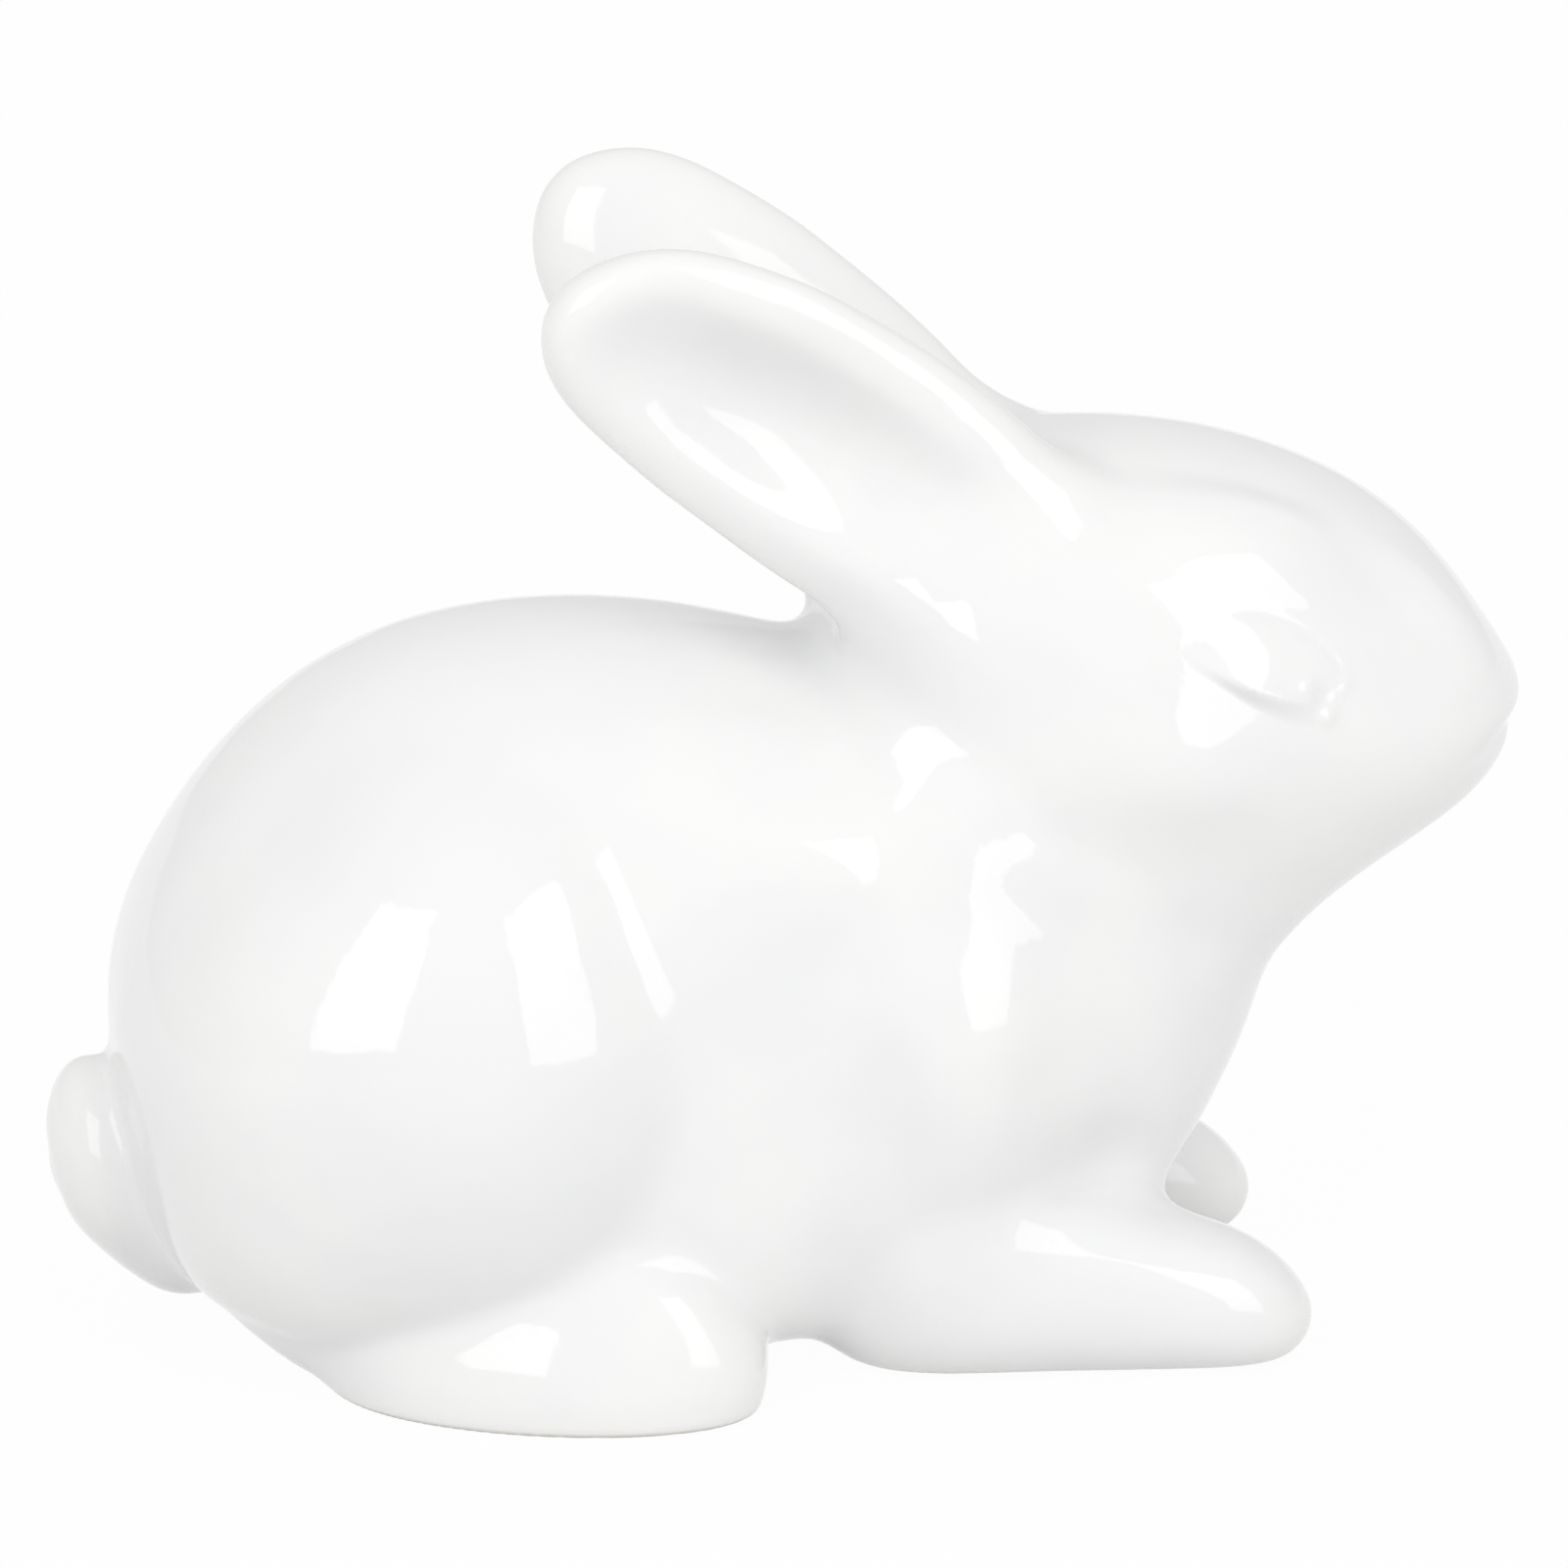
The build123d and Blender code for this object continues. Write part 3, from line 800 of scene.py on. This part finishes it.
def blend(nodes, links, share, first, second):
    """A colour between two, each a socket or a plain colour."""
    node = nodes.new("ShaderNodeMix")
    node.data_type = "RGBA"
    links.new(share, node.inputs[0])
    for socket, colour in ((node.inputs[6], first), (node.inputs[7], second)):
        if isinstance(colour, tuple):
            socket.default_value = (*colour, 1.0)
        else:
            links.new(colour, socket)
    return node.outputs[2]


def combine(nodes, links, operation, first, second):
    """Two values put together, the second a socket or a number."""
    node = nodes.new("ShaderNodeMath")
    node.operation = operation
    links.new(first, node.inputs[0])
    if isinstance(second, float):
        node.inputs[1].default_value = second
    else:
        links.new(second, node.inputs[1])
    return node.outputs["Value"]


def specks(nodes, links, place):
    """A few small iron specks in the clay: 1 within a speck and 0 elsewhere."""
    cells = nodes.new("ShaderNodeTexVoronoi")
    cells.inputs["Scale"].default_value = SPECKS_SCALE
    links.new(place, cells.inputs["Vector"])
    pick = nodes.new("ShaderNodeSeparateColor")
    links.new(cells.outputs["Color"], pick.inputs["Color"])
    last = SPECKS_CHANCE + SPECKS_CHANCE_EDGE
    chosen = spread(nodes, links, pick.outputs["Red"], SPECKS_CHANCE, last, 1.0, 0.0)
    size = spread(nodes, links, cells.outputs["Distance"], SPECK_SIZE / 2, SPECK_SIZE, 1.0, 0.0)
    return combine(nodes, links, "MULTIPLY", chosen, size)


def glaze_material():
    """White glossy glaze over white clay: cloudy, pooled and darkened with painted shade in creases, thin on
    edges, wiped off the soles.
    """
    material, nodes, links = new_material("white_glaze")
    output = nodes.new("ShaderNodeOutputMaterial")
    shader = nodes.new("ShaderNodeBsdfPrincipled")
    shader.inputs["IOR"].default_value = GLAZE_IOR
    place = nodes.new("ShaderNodeTexCoord").outputs["Object"]
    pool_and_shade = nodes.new("ShaderNodeAttribute")
    pool_and_shade.attribute_name = "pool_and_shade"
    height = nodes.new("ShaderNodeSeparateXYZ")
    links.new(place, height.inputs["Vector"])
    bare = spread(nodes, links, height.outputs["Z"], *SOLE_HEIGHTS, 1.0, 0.0)

    cloudy = spread(nodes, links, noise(nodes, links, place, *CLOUDS), *CLOUDS_SPAN, 0.0, 1.0)
    colour = blend(nodes, links, cloudy, GLAZE_PALE, GLAZE_DEEP)
    # Creases darker and bluer: partly pooled glaze, partly painted shade
    pooled_and_shaded = spread(nodes, links, pool_and_shade.outputs["Fac"], *POOLED_AND_SHADED_SPAN, 0.0, 1.0)
    colour = blend(nodes, links, pooled_and_shaded, colour, GLAZE_POOLED_AND_SHADED)
    thin = spread(nodes, links, pool_and_shade.outputs["Fac"], *THIN_SPAN, 1.0, 0.0)
    colour = blend(nodes, links, thin, colour, GLAZE_THIN)
    colour = blend(nodes, links, specks(nodes, links, place), colour, SPECK_BROWN)
    colour = blend(nodes, links, bare, colour, BARE_CLAY)
    links.new(colour, shader.inputs["Base Color"])

    gloss = spread(nodes, links, noise(nodes, links, place, *GLOSS), *GLOSS_SPAN, *GLOSS_ROUGHNESS)
    clay = combine(nodes, links, "MULTIPLY", bare, CLAY_ROUGHNESS)
    links.new(combine(nodes, links, "MAXIMUM", gloss, clay), shader.inputs["Roughness"])

    normal = None
    for scale, depth in (RIPPLE, ORANGE_PEEL):
        bump = nodes.new("ShaderNodeBump")
        bump.inputs["Distance"].default_value = depth
        links.new(noise(nodes, links, place, scale, SURFACE_DETAIL), bump.inputs["Height"])
        if normal:
            links.new(normal, bump.inputs["Normal"])
        normal = bump.outputs["Normal"]
    grain = nodes.new("ShaderNodeBump")
    grain.inputs["Distance"].default_value = CLAY_GRAIN_DEPTH
    rough = combine(nodes, links, "MULTIPLY", bare, noise(nodes, links, place, *CLAY_GRAIN))
    links.new(rough, grain.inputs["Height"])
    links.new(normal, grain.inputs["Normal"])
    links.new(grain.outputs["Normal"], shader.inputs["Normal"])
    links.new(shader.outputs["BSDF"], output.inputs["Surface"])
    return material


# Stage, light and camera

# The floor: half its side in metres, its grey, and how far it shows as white to the camera
FLOOR_REACH = 3.0
FLOOR_GREY = 0.75
FLOOR_WHITE_SHARE = 0.97
# Towards the brightest part of the studio, how strong its light is there and opposite, and where along
# that direction the light starts to rise and is whole
WORLD_BRIGHTEST = (-0.28, -0.22, 0.93)
WORLD_BRIGHTEST_STRENGTH = 1.0
WORLD_DIMMEST_STRENGTH = 0.62
WORLD_SPAN = (-0.75, 0.85)
# Each softbox: degrees round from the front towards the nose, degrees up, distance, width, height and
# brightness, and the place that both face
SOFTBOXES = {
    "softbox_nose_side": (40.0, 20.0, 1.0, 0.52, 0.90, 1.7),
    "softbox_tail_side": (-38.0, 28.0, 1.0, 0.52, 0.80, 1.9),
}
SOFTBOX_AIM = (0.0, 0.0, 0.045)
# The camera: degrees round towards the nose, degrees up, the place that it looks at and its distance in
# metres, the photograph's width in pixels, how many of them go to a metre there, the sensor's width in
# millimetres, and how far the camera sees
CAMERA_AROUND_ANGLE = -7.0
CAMERA_UP_ANGLE = 17.0
CAMERA_AIM = (0.0, 0.0, 0.0448)
CAMERA_DISTANCE = 0.850
PHOTO_WIDTH = 1600
PIXELS_PER_METRE = 12640
SENSOR_WIDTH = 36.0
CAMERA_REACH = 20.0


def direction(around_angle, up_angle):
    """A unit vector at angles in degrees, round from the front towards the nose, and up."""
    around = math.radians(around_angle)
    up = math.radians(up_angle)
    return Vector((math.sin(around) * math.cos(up), -math.cos(around) * math.cos(up), math.sin(up)))


def seen_directly(nodes, links):
    """A socket that is 1 where the camera looks at a surface or sees it in the glaze."""
    path = nodes.new("ShaderNodeLightPath")
    either = nodes.new("ShaderNodeMath")
    either.operation = "MAXIMUM"
    links.new(path.outputs["Is Camera Ray"], either.inputs[0])
    links.new(path.outputs["Is Glossy Ray"], either.inputs[1])
    return either.outputs["Value"]


def make_floor():
    """A pale floor that shows white to the camera and in the glaze, but keeps the rabbit's shadow."""
    mesh = bpy.data.meshes.new("floor")
    corners = [(x * FLOOR_REACH, y * FLOOR_REACH, 0) for x, y in ((-1, -1), (1, -1), (1, 1), (-1, 1))]
    mesh.from_pydata(corners, [], [(0, 1, 2, 3)])
    floor = bpy.data.objects.new("floor", mesh)
    bpy.context.scene.collection.objects.link(floor)
    material, nodes, links = new_material("floor_white")
    output = nodes.new("ShaderNodeOutputMaterial")
    shader = nodes.new("ShaderNodeBsdfDiffuse")
    shader.inputs["Color"].default_value = (FLOOR_GREY, FLOOR_GREY, FLOOR_GREY, 1)
    white = nodes.new("ShaderNodeEmission")
    share = nodes.new("ShaderNodeMath")
    share.operation = "MULTIPLY"
    share.inputs[1].default_value = FLOOR_WHITE_SHARE
    mix = nodes.new("ShaderNodeMixShader")
    links.new(seen_directly(nodes, links), share.inputs[0])
    links.new(share.outputs["Value"], mix.inputs["Fac"])
    links.new(shader.outputs["BSDF"], mix.inputs[1])
    links.new(white.outputs["Emission"], mix.inputs[2])
    links.new(mix.outputs["Shader"], output.inputs["Surface"])
    mesh.materials.append(material)


def make_world():
    """Studio light that is strongest overhead, and plain white to the camera and in the glaze."""
    world = bpy.data.worlds.new("studio")
    bpy.context.scene.world = world
    world.use_nodes = True
    nodes = world.node_tree.nodes
    links = world.node_tree.links
    nodes.clear()
    place = nodes.new("ShaderNodeTexCoord")
    along = nodes.new("ShaderNodeVectorMath")
    along.operation = "DOT_PRODUCT"
    along.inputs[1].default_value = WORLD_BRIGHTEST
    fall = nodes.new("ShaderNodeMapRange")
    fall.interpolation_type = "SMOOTHSTEP"
    fall.inputs["From Min"].default_value = WORLD_SPAN[0]
    fall.inputs["From Max"].default_value = WORLD_SPAN[1]
    fall.inputs["To Min"].default_value = WORLD_DIMMEST_STRENGTH
    fall.inputs["To Max"].default_value = WORLD_BRIGHTEST_STRENGTH
    light = nodes.new("ShaderNodeBackground")
    white = nodes.new("ShaderNodeBackground")
    white.inputs["Strength"].default_value = 1.0
    mix = nodes.new("ShaderNodeMixShader")
    output = nodes.new("ShaderNodeOutputWorld")
    links.new(place.outputs["Generated"], along.inputs[0])
    links.new(along.outputs["Value"], fall.inputs["Value"])
    links.new(fall.outputs["Result"], light.inputs["Strength"])
    links.new(seen_directly(nodes, links), mix.inputs["Fac"])
    links.new(light.outputs["Background"], mix.inputs[1])
    links.new(white.outputs["Background"], mix.inputs[2])
    links.new(mix.outputs["Shader"], output.inputs["Surface"])


def make_softbox(name, around, up, distance, width, height, brightness):
    """A rectangular lamp that faces the rabbit. Its brightness is against a white surface in full light."""
    data = bpy.data.lights.new(name, "AREA")
    data.shape = "RECTANGLE"
    data.size = width
    data.size_y = height
    data.energy = brightness * math.pi * width * height
    lamp = bpy.data.objects.new(name, data)
    bpy.context.scene.collection.objects.link(lamp)
    outward = direction(around, up)
    lamp.location = Vector(SOFTBOX_AIM) + distance * outward
    lamp.rotation_euler = outward.to_track_quat("Z", "Y").to_euler()


def make_camera():
    """The photograph's view: 7 degrees round to the tail's side and 17 degrees above."""
    data = bpy.data.cameras.new("camera")
    camera = bpy.data.objects.new("camera", data)
    bpy.context.scene.collection.objects.link(camera)
    outward = direction(CAMERA_AROUND_ANGLE, CAMERA_UP_ANGLE)
    camera.location = Vector(CAMERA_AIM) + CAMERA_DISTANCE * outward
    camera.rotation_euler = (-outward).to_track_quat("-Z", "Y").to_euler()
    data.sensor_width = SENSOR_WIDTH
    data.lens = SENSOR_WIDTH * CAMERA_DISTANCE / (PHOTO_WIDTH / PIXELS_PER_METRE)
    data.clip_end = CAMERA_REACH
    bpy.context.scene.camera = camera


make_floor()
make_world()
for name, facts in SOFTBOXES.items():
    make_softbox(name, *facts)
make_camera()
build_rabbit(glaze_material())

bpy.context.scene.view_settings.view_transform = "Standard"
